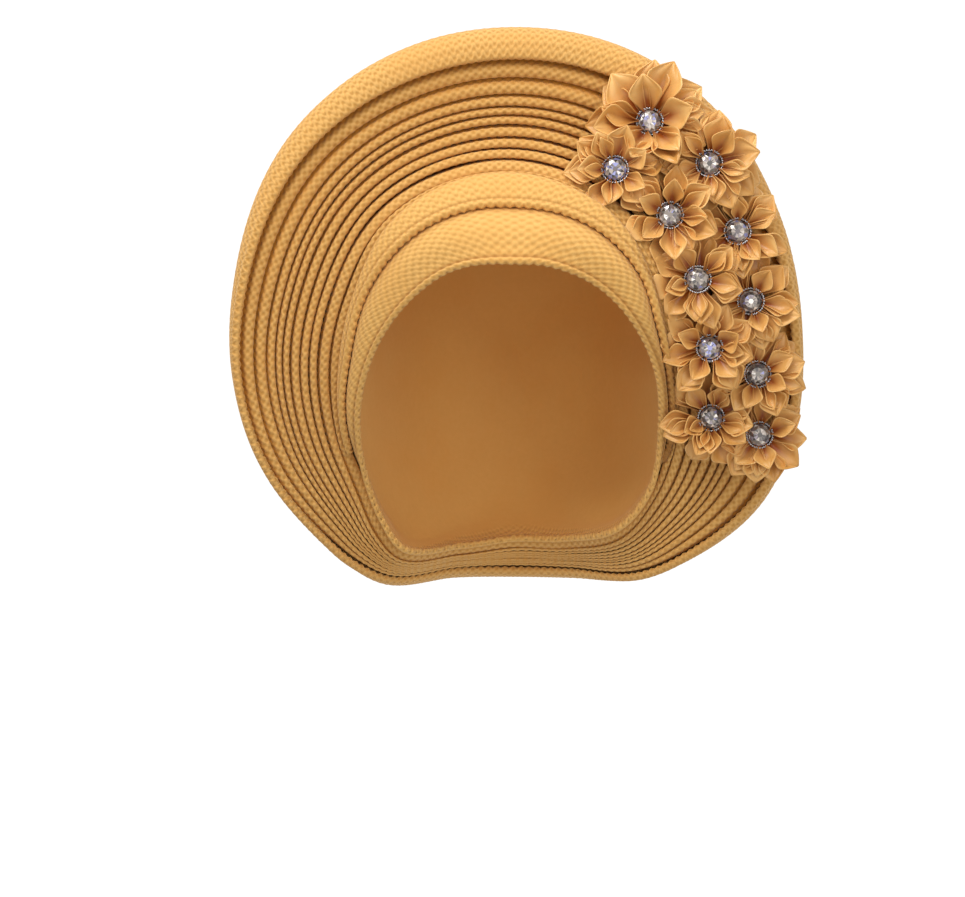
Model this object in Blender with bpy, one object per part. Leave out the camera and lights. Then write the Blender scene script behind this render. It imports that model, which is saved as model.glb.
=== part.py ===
"""A pleated gele head tie with a spray of ribbon flowers, held in the form that it has when worn.

The cloth is laid out round a level axis that runs from front to back through the middle of the fan.
A section is the cut that a half plane from that axis makes at one angle: angle 0 is straight up and
a positive angle turns towards +X. In a section a point has a radius, its distance from the axis, and
a depth along +Y, away from the face. The front of the wrap faces -Y and +Z is up. The origin is the
underside of the cap at the crown, where a head carries it.
"""
import bmesh
import bpy
import numpy as np

# Driving sizes in metres
FAN_RADIUS = 0.145
HEAD_DEPTH = 0.098
CROWN_RADIUS = 0.087
CLOTH = 0.002
CLEARANCE = 0.0004
BACK_ROOM = 0.008
PETAL_LENGTH = 0.0150
PETAL_CLOTH = 0.0016
PETAL_CLEARANCE = 0.0011
HUB_RADIUS = 0.0073
HUB_INSET_SHARE = .86
HUB_HEIGHT = 0.0039
SETTING_RADIUS = 0.0065
SETTING_HEIGHT = 0.0026
STONE_RADIUS = 0.0049
STONE_CROWN = 0.0017

STATIONS = 34
CROWDING_SHARE = .22
BAND_START = np.radians(-127.0)
BAND_END = np.radians(132.0)
PETALS = 8
SETTING_SIDES = 10
STONE_SIDES = 8

# One row for each section of the wrap. Radii are shares of FAN_RADIUS and depths shares of HEAD_DEPTH.
# edge is the hem round the face, fold the lower edge of the upper band, side the cap's widest place,
# inner and rim the two ends of the row of pleats and out the outline of the rim. hollow is how far the
# row of pleats sinks back from a straight line and tenth the width of the innermost pleat, both as
# shares of the row's width.
SECTION_COLUMNS = ("angle", "edge_r", "edge_y", "fold_r", "fold_y", "side_r", "side_y", "inner_r",
                   "inner_y", "rim_r", "rim_y", "out_r", "out_y", "hollow", "tenth")
SECTIONS = np.array([
    (-166, .755, .480, .726, .602, .641, .755, .783, .551, .827, .735, .843, .857, .00, .08),
    (-152, .821, .163, .810, .316, .745, .531, .859, .276, .928, .439, .942, .561, .00, .08),
    (-145, .776, .092, .766, .235, .731, .439, .821, .173, .935, .306, .949, .429, .01, .08),
    (-138, .724, .010, .717, .133, .703, .337, .768, .092, .929, .184, .943, .306, .02, .07),
    (-120, .592, -.286, .632, -.184, .608, .143, .685, -.082, .925, -.061, .955, .041, .08, .10),
    (-100, .464, -.510, .537, -.388, .534, .061, .620, -.245, .904, -.224, .941, -.133, .11, .15),
    (-80, .363, -.673, .487, -.510, .531, .020, .571, -.367, .877, -.337, .930, -.245, .14, .13),
    (-50, .265, -.827, .428, -.673, .586, .000, .546, -.510, .872, -.429, .959, -.337, .16, .10),
    (-20, .203, -.908, .383, -.755, .607, .000, .512, -.582, .856, -.500, .969, -.398, .17, .06),
    (0, .190, -.918, .366, -.765, .614, .000, .499, -.592, .855, -.510, .968, -.408, .17, .05),
    (20, .200, -.908, .371, -.765, .607, .000, .488, -.622, .855, -.510, .968, -.408, .17, .05),
    (45, .233, -.867, .393, -.745, .586, .000, .484, -.643, .851, -.490, .952, -.388, .17, .05),
    (70, .299, -.786, .420, -.694, .538, .000, .481, -.622, .863, -.429, .927, -.327, .15, .05),
    (90, .377, -.694, .443, -.622, .510, .020, .499, -.551, .886, -.367, .931, -.265, .13, .05),
    (110, .487, -.500, .517, -.429, .514, .082, .563, -.388, .932, -.235, .974, -.133, .11, .05),
    (125, .577, -.255, .606, -.194, .574, .184, .649, -.173, .954, -.071, .997, .041, .07, .05),
    (140, .701, -.031, .697, .092, .669, .327, .730, .031, .934, .122, .967, .235, .02, .06),
    (153, .752, .143, .738, .265, .690, .469, .783, .224, .906, .327, .921, .459, .00, .07),
    (166, .728, .449, .704, .561, .614, .724, .759, .520, .827, .653, .841, .786, .00, .08),
    (180, .710, .582, .679, .684, .579, .816, .738, .645, .800, .816, .817, .939, .00, .08),
])

# Widths of pleats 1 to 9, from the rim inwards, as shares of the row's width
PLEAT_SHARES = np.array([.137, .135, .100, .077, .085, .112, .105, .105, .144])

# Section of a rib: place across the pleat as a share of its width, and height over the line of folds as
# a share of the rib's depth. The tail runs on under the next pleat by a share of that pleat's width.
RIB_OUTLINE = ((0.0, -.28), (.14, -.06), (.48, 0.0), (.82, -.10), (.92, -.34))
RIB_BACK = (.34, -.56)
TAIL_REACH_SHARE = .24
TAIL_THICKNESS_SHARE = .30
RIM_PITCH_SHARE = .40

# The cap's bend at the back: radius as a share of the cap's side, depth as a share of the way to the pole
CAP_BEND = (.62, .76)

# The upper band: how far its top tucks in behind the innermost rib, in rib depths, and the bulge and the
# pulls of its curve at each end, in shares of its width
BAND_TUCK_SHARE = .36
BAND_BULGE_SHARE = .16
BAND_PULL_SHARES = (.33, .45)

# The wrap's rim and back. The roll's pulls are shares of its width: across and forward at the rim, forward
# at the outline. The back leaves the outline by a share of the way to the pole and turns in at a share of
# the outline's radius.
RIM_LIFT_SHARE = .10
ROLL_PULL_SHARES = (.20, .40, .50)
BACK_PULL_SHARE = .34
BACK_FULLNESS_SHARE = .52

# The setting's foot and floor as shares of its radius and height
SETTING_FOOT_SHARE = .92
SETTING_FLOOR_SHARE = .35

# The stone: radii of its back, girdle and table as shares of STONE_RADIUS, height of its girdle as a share
# of SETTING_HEIGHT, and where the back meets the girdle as a share of that
STONE_RADIUS_SHARES = (.60, .96, .58)
GIRDLE_HEIGHT_SHARE = .65
GIRDLE_START_SHARE = .45

# One row for each flower: its place right of and above the fan's middle as shares of FAN_RADIUS, its
# size against an ordinary flower, and its turn in degrees.
FLOWER_COLUMNS = ("right", "up", "size", "turn")
FLOWERS = np.array([
    (.428, .655, 1.35, 10),
    (.316, .499, 1.00, 40),
    (.619, .521, 1.12, 0),
    (.492, .354, 1.05, 25),
    (.712, .306, 1.05, 50),
    (.581, .150, 1.02, 5),
    (.757, .083, 1.02, 30),
    (.623, -.068, 1.05, 15),
    (.783, -.150, 1.00, 60),
    (.635, -.291, 1.05, 35),
    (.795, -.346, 1.02, 20),
])

# A petal is a left shoulder, a tip and a right shoulder: turn as a share of the step between petals, and
# place as a share of the petal's length. Petals are low and high in turn, by the slope of their middle.
PETAL_SPOKES = ((-.30, .55), (0.0, 1.0), (.30, .55))
PETAL_SLOPE_RATIOS = (.21, .62)

# Where the cloth's height is read under a petal: places along it, and degrees to each side of a spoke
PETAL_SAMPLE_PLACES = (.25, .5, .75, 1.0)
PETAL_SAMPLE_TURNS = (-9, 0, 9)

# Places in a flower's seat where the cloth's height is read: rings as shares of its radius, and how many
# round each ring
SEAT_RINGS = (0.0, .5, 1.0)
SEAT_PLACES = 12

# Least cosine between a spoke and a neighbour for the neighbour to stand in the spoke's way
SIDEWAYS = .01


def material(name, colour, roughness, metallic=0.0):
    """A Principled material of one colour."""
    made = bpy.data.materials.new(name)
    made.use_nodes = True
    shader = made.node_tree.nodes["Principled BSDF"]
    shader.inputs["Base Color"].default_value = (*colour, 1.0)
    shader.inputs["Roughness"].default_value = roughness
    shader.inputs["Metallic"].default_value = metallic
    return made


def column(name, angles):
    """Smooth closed curve through one column of the sections, read at the given angles in radians.

    Between two rows it is the cubic whose slope at a row is that of the parabola through the row and
    its two neighbours.
    """
    rows = np.radians(SECTIONS[:, 0])
    values = SECTIONS[:, SECTION_COLUMNS.index(name)]
    turn = 2 * np.pi
    places = np.concatenate([rows - turn, rows, rows + turn])
    heights = np.tile(values, 3)
    steps = np.diff(places)
    slopes = np.diff(heights) / steps
    at_rows = (slopes[:-1] * steps[1:] + slopes[1:] * steps[:-1]) / (steps[:-1] + steps[1:])
    at_rows = np.concatenate([slopes[:1], at_rows, slopes[-1:]])
    cell = np.searchsorted(places, angles, side="right") - 1
    step = steps[cell]
    part = (angles - places[cell]) / step
    start = heights[cell] * (1 + 2 * part) * (1 - part) ** 2 + step * at_rows[cell] * part * (1 - part) ** 2
    end = heights[cell + 1] * part ** 2 * (3 - 2 * part) + step * at_rows[cell + 1] * part ** 2 * (part - 1)
    return start + end


def section_point(name, angles):
    """Radius and depth in metres of one named point of the sections, one row for each angle."""
    radius = column(name + "_r", angles) * FAN_RADIUS
    depth = column(name + "_y", angles) * HEAD_DEPTH
    return np.stack([radius, depth], axis=-1)


def length(vectors):
    """Length of each vector, kept as a last axis of one."""
    return np.linalg.norm(vectors, axis=-1, keepdims=True)


def forward(direction):
    """The unit vector square to a direction in a section, on the side that faces front and outwards."""
    turned = np.stack([direction[..., 1], -direction[..., 0]], axis=-1)
    return turned / length(turned)


def curve_through(points, samples):
    """Catmull-Rom curve through points (angle, point, 2), read at the places given in samples."""
    before = 2 * points[:, :1] - points[:, 1:2]
    after = 2 * points[:, -1:] - points[:, -2:-1]
    line = np.concatenate([before, points, after], axis=1)
    cell = np.minimum(np.floor(samples).astype(int), points.shape[1] - 2)
    part = (samples - cell)[None, :, None]
    a, b, c, d = (line[:, cell + k] for k in range(4))
    return 0.5 * (2 * b + (c - a) * part + (2 * a - 5 * b + 4 * c - d) * part ** 2
                  + (3 * b - a - 3 * c + d) * part ** 3)


def bezier(p0, p1, p2, p3, places):
    """Cubic Bezier curve for each angle, read at places from 0 to 1."""
    s = places[None, :, None]
    p0, p1, p2, p3 = (p[:, None, :] for p in (p0, p1, p2, p3))
    return (1 - s) ** 3 * p0 + 3 * s * (1 - s) ** 2 * p1 + 3 * s ** 2 * (1 - s) * p2 + s ** 3 * p3


def along(profile):
    """Direction of a profile (angle, point, 2) at each of its points."""
    return np.gradient(profile, axis=1)


def in_space(angles, profile):
    """Turn sections (angle, point, radius and depth) into points in space."""
    radius, depth = profile[..., 0], profile[..., 1]
    turn = angles[:, None]
    return np.stack([radius * np.sin(turn), depth, radius * np.cos(turn) - CROWN_RADIUS], axis=-1)


def grid_faces(rows, points, closed_rows, closed_points, first=0):
    """Two triangles for each cell of a grid, all cut along the same diagonal."""
    i, j = np.meshgrid(np.arange(rows - (not closed_rows)), np.arange(points - (not closed_points)),
                       indexing="ij")
    i_next, j_next = (i + 1) % rows, (j + 1) % points
    a, b = i * points + j, i_next * points + j
    c, d = i_next * points + j_next, i * points + j_next
    cells = np.stack([np.stack([a, b, c], -1), np.stack([a, c, d], -1)], axis=2)
    return first + cells.reshape(-1, 3)


def fan_faces(ring, tip, flipped):
    """Triangles from a closed ring of vertex numbers to one tip."""
    following = np.roll(ring, -1)
    tips = np.full_like(ring, tip)
    order = (following, ring, tips) if flipped else (ring, following, tips)
    return np.stack(order, axis=-1)


def add_object(name, points, faces, look):
    """A mesh object from points and triangles, with its faces turned outwards."""
    mesh = bpy.data.meshes.new(name)
    mesh.from_pydata(np.asarray(points).tolist(), [], np.asarray(faces).tolist())
    shape = bmesh.new()
    shape.from_mesh(mesh)
    bmesh.ops.recalc_face_normals(shape, faces=shape.faces)
    shape.to_mesh(mesh)
    shape.free()
    mesh.materials.append(look)
    mesh.update()
    made = bpy.data.objects.new(name, mesh)
    bpy.context.scene.collection.objects.link(made)
    return made


def ring_object(name, angles, loops, look):
    """A closed ring: a loop of points (angle, point, 2) carried once round the axis."""
    points = in_space(angles, loops).reshape(-1, 3)
    return add_object(name, points, grid_faces(*loops.shape[:2], True, True), look)


def strip_object(name, angles, loops, look):
    """A strip with two ends: a loop of points carried part of the way round and closed at both ends."""
    rows, count = loops.shape[:2]
    points = in_space(angles, loops).reshape(-1, 3)
    half = count // 2
    faces = [grid_faces(rows, count, False, True)]
    for row, flipped in ((0, False), (rows - 1, True)):
        outer = np.arange(half - 1)
        inner = count - 1 - outer
        a, b = row * count + outer, row * count + outer + 1
        c, d = row * count + inner - 1, row * count + inner
        cells = np.concatenate([np.stack([a, b, c], -1), np.stack([a, c, d], -1)])
        faces.append(cells[:, ::-1] if flipped else cells)
    return add_object(name, points, np.concatenate(faces), look)


def shell_object(name, angles, outer, look):
    """A cloth shell of one wall, from its free edge to the pole at the end of each outer profile."""
    inner = outer - CLOTH * forward(along(outer))
    inner[:, -1] = outer[:, -1] - (0.0, CLOTH)
    rows, count = outer.shape[:2]
    body = count - 1
    points = [in_space(angles, outer[:, :-1]).reshape(-1, 3), in_space(angles, inner[:, :-1]).reshape(-1, 3)]
    poles = in_space(angles[:1], np.stack([outer[:1, -1], inner[:1, -1]], axis=1)).reshape(-1, 3)
    start = rows * body
    ring = np.arange(rows) * body
    edge_outer, edge_inner = ring, start + ring
    following_outer, following_inner = np.roll(edge_outer, -1), np.roll(edge_inner, -1)
    faces = [
        grid_faces(rows, body, True, False),
        grid_faces(rows, body, True, False, start)[:, ::-1],
        fan_faces(ring + body - 1, 2 * start, False),
        fan_faces(start + ring + body - 1, 2 * start + 1, True),
        np.stack([edge_outer, edge_inner, following_inner], -1),
        np.stack([edge_outer, following_inner, following_outer], -1),
    ]
    return add_object(name, np.concatenate(points + [poles]), np.concatenate(faces), look)


def pleat_lines(angles):
    """The inner fold of each pleat and last the rim's own fold, from the innermost outwards.

    The row runs straight from the inner point to the rim point and sinks back between them by a
    parabola. The innermost pleat lies inside the inner point, by its own width.
    """
    inner, rim = section_point("inner", angles), section_point("rim", angles)
    width = length(rim - inner)
    across = (rim - inner) / width
    back = -forward(across)
    shares = np.concatenate([[0.0], np.cumsum(PLEAT_SHARES[::-1])])
    shares = shares / shares[-1]
    hollow = column("hollow", angles)[:, None] * width
    lines = inner[:, None] + across[:, None] * (shares[None, :, None] * width[:, None])
    lines += back[:, None] * (4 * shares * (1 - shares))[None, :, None] * hollow[:, None]
    first = inner - (lines[:, 1] - lines[:, 0]) / length(lines[:, 1] - lines[:, 0]) * (
        column("tenth", angles)[:, None] * width)
    return np.concatenate([first[:, None], lines], axis=1)


def rib_depth(angles):
    """Depth of one rib, for all pleats of a section: the mean width of a pleat there."""
    lines = pleat_lines(angles)
    return length(lines[:, -1] - lines[:, 1]) / len(PLEAT_SHARES)


def pleat_loop(angles, lines, number):
    """Closed outline of one pleat: a rounded rib and a tail tucked under the next rib outwards."""
    start, end = lines[:, number], lines[:, number + 1]
    after = lines[:, min(number + 2, lines.shape[1] - 1)]
    pitch = length(end - start)
    next_pitch = length(after - end) if number + 2 < lines.shape[1] else RIM_PITCH_SHARE * pitch
    across = (end - start) / pitch
    front = forward(across)
    depth = rib_depth(angles)
    back_place, back_height = RIB_BACK
    tail = pitch + TAIL_REACH_SHARE * next_pitch
    under = back_height * depth - CLEARANCE
    outline = [(place * pitch, height * depth) for place, height in RIB_OUTLINE]
    outline += [(tail, under), (tail, under - TAIL_THICKNESS_SHARE * depth)]
    outline += [(back_place * pitch, back_height * depth)]
    return np.stack([start + across * t + front * n for t, n in outline], axis=1)


def cap_profile(angles):
    """Outer face of the cap from the hem round the face to the pole at the back of the head."""
    side = section_point("side", angles)
    bend_radius, bend_depth = CAP_BEND
    back = np.stack([bend_radius * side[:, 0], side[:, 1] + bend_depth * (HEAD_DEPTH - side[:, 1])], axis=-1)
    pole = np.tile([0.0, HEAD_DEPTH + CLOTH], (len(angles), 1))
    edge, fold = section_point("edge", angles), section_point("fold", angles)
    points = np.stack([edge, fold, side, back, pole], axis=1)
    return curve_through(points, np.array([0, .5, 1, 1.5, 2, 2.5, 3, 4.0]))


def band_loop(angles):
    """Closed outline of the upper band, which lies on the cap and runs up under the inner pleat."""
    cap = cap_profile(angles)
    low = cap[:, 2] + forward(along(cap)[:, 2]) * CLEARANCE
    lines = pleat_lines(angles)
    across = (lines[:, 1] - lines[:, 0]) / length(lines[:, 1] - lines[:, 0])
    front = forward(across)
    high = lines[:, 0] - across * (CLOTH + CLEARANCE) - front * BAND_TUCK_SHARE * rib_depth(angles)
    width = length(high - low)
    low_pull, high_pull = BAND_PULL_SHARES
    inner = bezier(low, low + (high - low) * low_pull + forward(high - low) * BAND_BULGE_SHARE * width,
                   high + front * high_pull * width, high, np.linspace(0, 1, 4))
    outer = inner + CLOTH * forward(along(inner))
    return np.concatenate([outer, inner[:, ::-1]], axis=1)


def wrap_profile(angles):
    """Outer face of the wrap: the rim's fold, its roll to the outline, and the back to the pole."""
    inner, rim, out = (section_point(name, angles) for name in ("inner", "rim", "out"))
    front = forward(rim - inner)
    across = (rim - inner) / length(rim - inner)
    width = length(out - rim)
    start = rim + front * RIM_LIFT_SHARE * rib_depth(angles)
    outwards, forwards, at_outline = ROLL_PULL_SHARES
    roll = bezier(start, rim + width * (outwards * across + forwards * front),
                  out + at_outline * width * front, out, np.array([0, .3, .65, 1.0]))
    pole = np.tile([0.0, HEAD_DEPTH + CLOTH + BACK_ROOM], (len(angles), 1))
    span = length(pole - out)
    full = np.stack([BACK_FULLNESS_SHARE * out[:, 0], pole[:, 1]], axis=-1)
    back = bezier(out, out - front * BACK_PULL_SHARE * span, full, pole, np.linspace(0, 1, 7))
    return np.concatenate([roll, back[:, 1:]], axis=1)


def station_angles():
    """Angles of the sections that the rings are made from, closer together towards the nape."""
    even = 2 * np.pi * np.arange(STATIONS) / STATIONS - np.pi
    return even + CROWDING_SHARE * np.sin(even)


def front_depth(right, up):
    """Depth of the front of the faceted cloth at places right of and above the fan's middle."""
    stations = station_angles()
    bands = band_loop(stations)[:, :3]
    hem = section_point("edge", stations)[:, None]
    chain = np.concatenate([hem, bands, pleat_lines(stations)[:, :-1], wrap_profile(stations)[:, :5]], axis=1)
    angles = np.arctan2(right, up)
    cell = np.searchsorted(stations, angles, side="right") - 1
    after = (cell + 1) % STATIONS
    share = (angles - stations[cell]) / ((stations[after] - stations[cell]) % (2 * np.pi))
    here = chain[cell] + (chain[after] - chain[cell]) * share[:, None, None]
    places = np.maximum.accumulate(here[..., 0], axis=1)
    return np.array([np.interp(r, x, y) for r, x, y in zip(np.hypot(right, up), places, here[..., 1])])


def place_flower(number):
    """Middle of a flower's seat, in metres: right of the fan's middle, depth, and above the middle."""
    right, up = FLOWERS[number, :2] * FAN_RADIUS
    around = 2 * np.pi * np.arange(SEAT_PLACES) / SEAT_PLACES
    rings = np.outer(SEAT_RINGS, np.ones(SEAT_PLACES)) * HUB_RADIUS * HUB_INSET_SHARE
    seat = front_depth((right + rings * np.sin(around)).ravel(), (up + rings * np.cos(around)).ravel())
    return np.array([right, seat.min() - CLEARANCE, up])


def room_to_neighbours(number):
    """Direction to each other flower and how far this one may reach that way."""
    places = FLOWERS[:, :2] * FAN_RADIUS
    apart = np.delete(places - places[number], number, axis=0)
    sizes = FLOWERS[:, FLOWER_COLUMNS.index("size")]
    reach = length(apart)
    share = sizes[number] / (sizes[number] + np.delete(sizes, number))
    return apart / reach, reach[:, 0] * share - CLEARANCE


def petal_reach(number, turns, reach):
    """How far each spoke of a flower reaches: its own length, or less where a neighbour is near."""
    directions, limits = room_to_neighbours(number)
    towards = np.stack([np.sin(turns), np.cos(turns)], axis=-1) @ directions.T
    return np.minimum(reach, (limits / np.maximum(towards, SIDEWAYS)).min(axis=1))


def petal_slope(seat, turns, reach, slope):
    """Slope of each spoke away from the cloth: its own, or more where the cloth stands higher."""
    root = HUB_RADIUS * HUB_INSET_SHARE
    around = turns[:, None, None] + np.radians(PETAL_SAMPLE_TURNS)[None, None, :]
    run = (reach - root)[:, None, None] * np.array(PETAL_SAMPLE_PLACES)[None, :, None]
    away = np.broadcast_to(root + run, np.broadcast_shapes(around.shape, run.shape))
    right = seat[0] + (away * np.sin(around)).ravel()
    up = seat[2] + (away * np.cos(around)).ravel()
    rise = seat[1] - front_depth(right, up).reshape(away.shape) + PETAL_CLEARANCE
    return np.maximum(slope, (rise / run).max(axis=(1, 2)))


def make_flower(number, look):
    """A flower: a hub and a row of pointed petals of one wall, in turn low and high."""
    seat = place_flower(number)
    step = 2 * np.pi / PETALS
    spokes = [(step * (petal + turn), place, PETAL_SLOPE_RATIOS[petal % 2])
              for petal in range(PETALS) for turn, place in PETAL_SPOKES]
    turns, places, slopes = np.array(spokes).T
    turns = turns + np.radians(FLOWERS[number, FLOWER_COLUMNS.index("turn")])
    size = FLOWERS[number, FLOWER_COLUMNS.index("size")]
    reach = petal_reach(number, turns, HUB_RADIUS + PETAL_LENGTH * size * places)
    height = petal_slope(seat, turns, reach, slopes) * (reach - HUB_RADIUS * HUB_INSET_SHARE)
    loops = np.array([
        np.stack([np.full_like(reach, HUB_RADIUS * HUB_INSET_SHARE), np.zeros_like(reach)], axis=-1),
        np.stack([reach, height], axis=-1),
        np.stack([reach, height + PETAL_CLOTH], axis=-1),
        np.stack([np.full_like(reach, HUB_RADIUS), np.full_like(reach, HUB_HEIGHT)], axis=-1),
    ]).transpose(1, 0, 2)
    rings = np.stack([loops[..., 0] * np.sin(turns)[:, None], -loops[..., 1],
                      loops[..., 0] * np.cos(turns)[:, None]], axis=-1).reshape(-1, 3)
    ends = np.array([(0.0, 0.0, 0.0), (0.0, -HUB_HEIGHT, 0.0)])
    ring = np.arange(len(turns)) * loops.shape[1]
    faces = np.concatenate([
        grid_faces(*loops.shape[:2], True, False),
        fan_faces(ring, len(rings), True),
        fan_faces(ring + loops.shape[1] - 1, len(rings) + 1, False),
    ])
    middle = seat - (0.0, 0.0, CROWN_RADIUS)
    return add_object(f"flower_{number + 1}", np.concatenate([rings, ends]) + middle, faces, look)


def turned_object(name, middle, profile, sides, turn, look):
    """A piece turned about an axis that faces front; the profile's first and last points are on it."""
    angles = turn + 2 * np.pi * np.arange(sides) / sides
    body = np.array(profile[1:-1])
    radius, height = body[:, 0], body[:, 1]
    rings = np.stack([np.outer(np.sin(angles), radius), np.tile(-height, (sides, 1)),
                      np.outer(np.cos(angles), radius)], axis=-1).reshape(-1, 3)
    ends = np.array([(0.0, -profile[0][1], 0.0), (0.0, -profile[-1][1], 0.0)])
    ring = np.arange(sides) * len(body)
    faces = np.concatenate([
        grid_faces(sides, len(body), True, False),
        fan_faces(ring, len(rings), True),
        fan_faces(ring + len(body) - 1, len(rings) + 1, False),
    ])
    return add_object(name, np.concatenate([rings, ends]) + middle, faces, look)


def make_setting(number, look):
    """The metal cup that holds a stone, with an open recess in front."""
    middle = place_flower(number) - (0.0, HUB_HEIGHT + CLEARANCE, CROWN_RADIUS)
    recess = STONE_RADIUS + CLEARANCE
    floor = SETTING_FLOOR_SHARE * SETTING_HEIGHT
    profile = ((0, 0), (SETTING_FOOT_SHARE * SETTING_RADIUS, 0), (SETTING_RADIUS, SETTING_HEIGHT),
               (recess, SETTING_HEIGHT), (recess, floor), (0, floor))
    return turned_object(f"setting_{number + 1}", middle, profile, SETTING_SIDES, 0.0, look)


def make_stone(number, look):
    """A cut stone: a flat table, a ring of crown facets, a thin girdle and a shallow back."""
    front = HUB_HEIGHT + 2 * CLEARANCE + SETTING_FLOOR_SHARE * SETTING_HEIGHT
    middle = place_flower(number) - (0.0, front, CROWN_RADIUS)
    girdle = SETTING_HEIGHT * GIRDLE_HEIGHT_SHARE - CLEARANCE
    half_step = np.pi / STONE_SIDES
    angles = 2 * np.pi * np.arange(STONE_SIDES) / STONE_SIDES
    back, widest, table = STONE_RADIUS_SHARES
    rows = ((back, 0.0, half_step), (widest, GIRDLE_START_SHARE * girdle, 0.0), (widest, girdle, 0.0),
            (table, girdle + STONE_CROWN, half_step))
    points = [np.stack([share * STONE_RADIUS * np.sin(angles + turn), np.full(STONE_SIDES, -height),
                        share * STONE_RADIUS * np.cos(angles + turn)], axis=-1)
              for share, height, turn in rows]
    ring = [row * STONE_SIDES + np.arange(STONE_SIDES) for row in range(4)]
    following = [np.roll(r, -1) for r in ring]
    ends = [np.array([(r[0], r[k], r[k + 1]) for k in range(1, STONE_SIDES - 1)]) for r in (ring[0], ring[3])]
    faces = [
        ends[0],
        np.stack([ring[1], ring[0], following[1]], -1),
        np.stack([following[1], ring[0], following[0]], -1),
        np.stack([ring[1], following[1], following[2]], -1),
        np.stack([ring[1], following[2], ring[2]], -1),
        np.stack([ring[2], following[2], ring[3]], -1),
        np.stack([ring[3], following[2], following[3]], -1),
        ends[1][:, ::-1],
    ]
    return add_object(f"stone_{number + 1}", np.concatenate(points) + middle, np.concatenate(faces), look)


def main():
    """Build every piece of the head tie."""
    for old in list(bpy.data.objects):
        bpy.data.objects.remove(old)
    cloth = material("gold ribbed cloth", (.62, .36, .10), .80)
    satin = material("gold satin ribbon", (.60, .32, .07), .42)
    silver = material("silvered metal", (.55, .55, .57), .30, 1.0)
    crystal = material("clear crystal", (.80, .82, .86), .05)
    angles = station_angles()
    shell_object("cap", angles, cap_profile(angles), cloth)
    band_angles = angles[(angles > BAND_START) & (angles < BAND_END)]
    strip_object("upper_band", band_angles, band_loop(band_angles), cloth)
    lines = pleat_lines(angles)
    pleats = lines.shape[1] - 1
    for number in range(pleats):
        ring_object(f"pleat_{pleats - number}", angles, pleat_loop(angles, lines, number), cloth)
    shell_object("outer_wrap", angles, wrap_profile(angles), cloth)
    for number in range(len(FLOWERS)):
        make_flower(number, satin)
        make_setting(number, silver)
        make_stone(number, crystal)


main()
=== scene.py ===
"""A pleated gele head tie in gold ribbed cloth, with a spray of satin flowers and crystal buttons.

The cloth is laid out round a level axis that runs from front to back through the middle of the fan. A
section is the cut at one angle round it: angle 0 is straight up and a positive angle turns towards +X.
In a section a point has a radius, its distance from the axis, and a depth along +Y, away from the face.
"""

import bmesh
import bpy
import numpy as np
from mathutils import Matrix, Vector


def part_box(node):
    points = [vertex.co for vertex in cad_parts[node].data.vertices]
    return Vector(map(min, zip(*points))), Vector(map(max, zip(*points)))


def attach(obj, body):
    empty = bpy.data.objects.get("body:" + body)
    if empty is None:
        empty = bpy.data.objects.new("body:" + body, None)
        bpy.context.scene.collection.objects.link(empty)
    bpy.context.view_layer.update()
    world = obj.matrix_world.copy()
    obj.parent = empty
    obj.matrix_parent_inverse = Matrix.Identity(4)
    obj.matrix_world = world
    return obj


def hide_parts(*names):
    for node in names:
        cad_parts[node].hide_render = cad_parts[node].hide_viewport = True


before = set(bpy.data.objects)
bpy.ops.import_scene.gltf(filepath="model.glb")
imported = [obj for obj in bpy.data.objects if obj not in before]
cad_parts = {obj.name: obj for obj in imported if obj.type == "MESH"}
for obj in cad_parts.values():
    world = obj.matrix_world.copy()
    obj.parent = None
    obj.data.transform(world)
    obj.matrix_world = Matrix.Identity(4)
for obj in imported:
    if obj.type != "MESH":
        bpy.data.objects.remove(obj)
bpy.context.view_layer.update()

# The cap is the layer that holds the head. It is ribbed cloth cut to a crown, with its hem rolled over a
# thin cord round the face, and its back drawn together behind the head.
FAN_RADIUS = 0.145
HEAD_DEPTH = 0.098
CROWN_RADIUS = 0.087
CLOTH = 0.002
CLEARANCE = 0.0004
WEAVE = 0.0021
HEM_ROLL = 0.0017
HEM_TOOTH = 0.00034
WEAVE_RELIEF = 0.00014
CAP_BEND = (.62, .76)
# Width of the painted shade line in the crease above the cap's hem roll:
HEM_SHADE_WIDTH = 0.0007
CAP_LINING_OUTSIDE = (0.030, 0.012)
CAP_LINING_INSIDE = (0.010, 0.006)
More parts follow.
